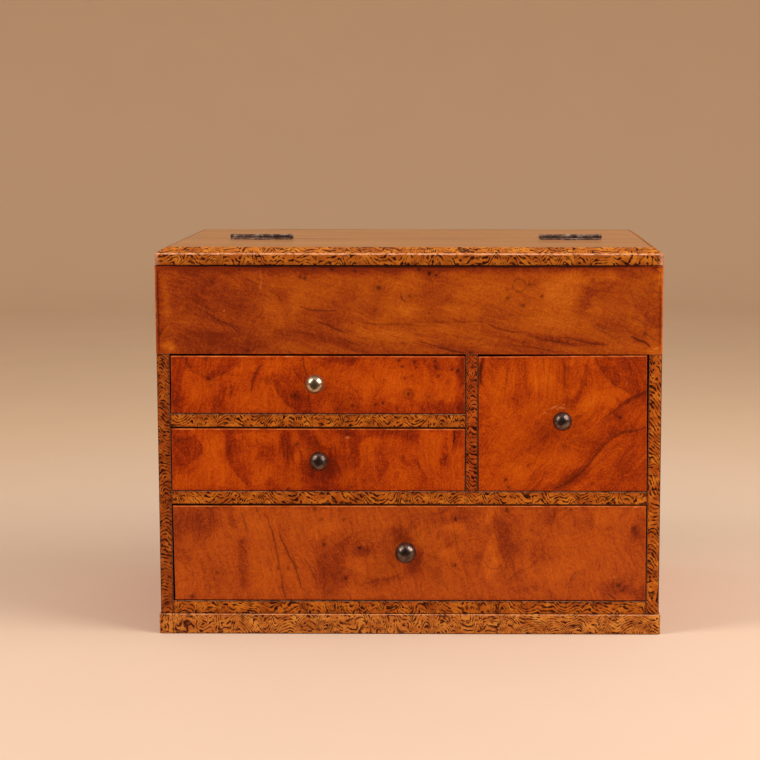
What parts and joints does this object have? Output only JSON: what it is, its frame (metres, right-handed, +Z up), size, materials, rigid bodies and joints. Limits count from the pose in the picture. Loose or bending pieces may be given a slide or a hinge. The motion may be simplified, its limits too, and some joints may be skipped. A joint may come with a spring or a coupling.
{
  "type": "sewing box",
  "caption": "Wooden sewing chest with a hinged lid over a shallow compartment and sliding drawers below, each with a ball knob.",
  "frame": {"origin": "middle of the footprint of the whole object, knobs included, on the surface it stands on", "axes": "+X along the front to the viewer's right, +Y from the front to the back, +Z up"},
  "size_m": [0.332, 0.2336, 0.259],
  "materials": {
    "burl_veneer": "figured burl veneer under satin varnish",
    "patterned_edging": "ochre strip with short dark brown strokes, satin varnish",
    "case_wood": "plain stained boards",
    "drawer_wood": "bare pale softwood",
    "knob_bronze": "turned, dark brown patina",
    "knob_pale_brass": "turned, worn bare and tarnished in spots",
    "hinge_brass": "stamped, dark brown patina worn on the knuckles"
  },
  "bodies": {
    "case": {"back_panel": "case_wood", "bay_divider": "case_wood", "bottom_board": "case_wood", "compartment_floor": "case_wood", "hinge_case_screws": "hinge_brass", "hinge_left_case_leaf": "hinge_brass", "hinge_left_pin": "hinge_brass", "hinge_right_case_leaf": "hinge_brass", "hinge_right_pin": "hinge_brass", "middle_shelf": "case_wood", "plinth_back": "patterned_edging", "plinth_front": "patterned_edging", "plinth_left": "patterned_edging", "plinth_right": "patterned_edging", "rail_bottom": "patterned_edging", "rail_middle": "patterned_edging", "rail_small_drawers": "patterned_edging", "rear_top_board": "burl_veneer", "rear_top_edge_back": "patterned_edging", "rear_top_edge_left": "patterned_edging", "rear_top_edge_right": "patterned_edging", "side_left": "burl_veneer", "side_right": "burl_veneer", "small_drawer_shelf": "case_wood", "stile_centre": "patterned_edging", "stile_left": "patterned_edging", "stile_right": "patterned_edging", "upper_front_board": "case_wood", "upper_front_veneer": "burl_veneer"},
    "lid": {"hinge_left_lid_leaf": "hinge_brass", "hinge_lid_screws": "hinge_brass", "hinge_right_lid_leaf": "hinge_brass", "lid_board": "burl_veneer", "lid_edge_front": "patterned_edging", "lid_edge_left": "patterned_edging", "lid_edge_right": "patterned_edging"},
    "drawer_upper_left": {"drawer_upper_left_back": "drawer_wood", "drawer_upper_left_bottom": "drawer_wood", "drawer_upper_left_front": "burl_veneer", "drawer_upper_left_knob": "knob_pale_brass", "drawer_upper_left_side_left": "drawer_wood", "drawer_upper_left_side_right": "drawer_wood"},
    "drawer_lower_left": {"drawer_lower_left_back": "drawer_wood", "drawer_lower_left_bottom": "drawer_wood", "drawer_lower_left_front": "burl_veneer", "drawer_lower_left_knob": "knob_bronze", "drawer_lower_left_side_left": "drawer_wood", "drawer_lower_left_side_right": "drawer_wood"},
    "drawer_right": {"drawer_right_back": "drawer_wood", "drawer_right_bottom": "drawer_wood", "drawer_right_front": "burl_veneer", "drawer_right_knob": "knob_bronze", "drawer_right_side_left": "drawer_wood", "drawer_right_side_right": "drawer_wood"},
    "drawer_bottom": {"drawer_bottom_back": "drawer_wood", "drawer_bottom_bottom": "drawer_wood", "drawer_bottom_front": "burl_veneer", "drawer_bottom_knob": "knob_bronze", "drawer_bottom_side_left": "drawer_wood", "drawer_bottom_side_right": "drawer_wood"}
  },
  "joints": [
    {"name": "lid_hinge", "type": "hinge", "parent": "case", "child": "lid", "pos_m": [0, -0.00478, 0.25755], "axis": [-1, 0, 0], "range_deg": [0, 180]},
    {"name": "drawer_upper_left_slide", "type": "slide", "parent": "case", "child": "drawer_upper_left", "axis": [0, -1, 0], "range_m": [0, 0.17]},
    {"name": "drawer_lower_left_slide", "type": "slide", "parent": "case", "child": "drawer_lower_left", "axis": [0, -1, 0], "range_m": [0, 0.17]},
    {"name": "drawer_right_slide", "type": "slide", "parent": "case", "child": "drawer_right", "axis": [0, -1, 0], "range_m": [0, 0.17]},
    {"name": "drawer_bottom_slide", "type": "slide", "parent": "case", "child": "drawer_bottom", "axis": [0, -1, 0], "range_m": [0, 0.17]}
  ]
}
